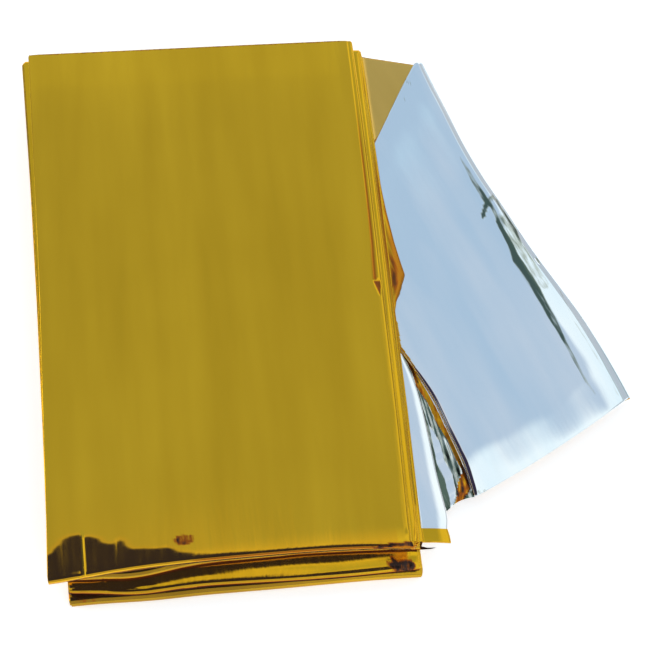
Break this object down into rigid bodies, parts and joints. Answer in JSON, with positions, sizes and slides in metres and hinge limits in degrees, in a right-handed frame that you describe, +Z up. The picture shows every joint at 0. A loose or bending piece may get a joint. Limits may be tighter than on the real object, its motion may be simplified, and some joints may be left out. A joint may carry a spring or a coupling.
{
  "type": "emergency foil blanket",
  "caption": "Folded emergency foil blanket, gold outside and silver inside, with one loose pleat fanned out beside the flat packet; it keeps a person warm.",
  "frame": {"origin": "the middle of the packet's flat underside, on the surface that it lies on", "axes": "+X to the side where the loose pleat comes out, +Y to the packet's back, away from its rounded front folds, +Z up out of the top face"},
  "size_m": [0.1434, 0.1381, 0.0157],
  "materials": {
    "gold_film": "metallised film, gold side, mirror-bright with fine creases",
    "silver_film": "metallised film, silver side, mirror-bright with fine creases"
  },
  "bodies": {
    "root": {"foil_blanket": "gold_film"}
  },
  "joints": []
}
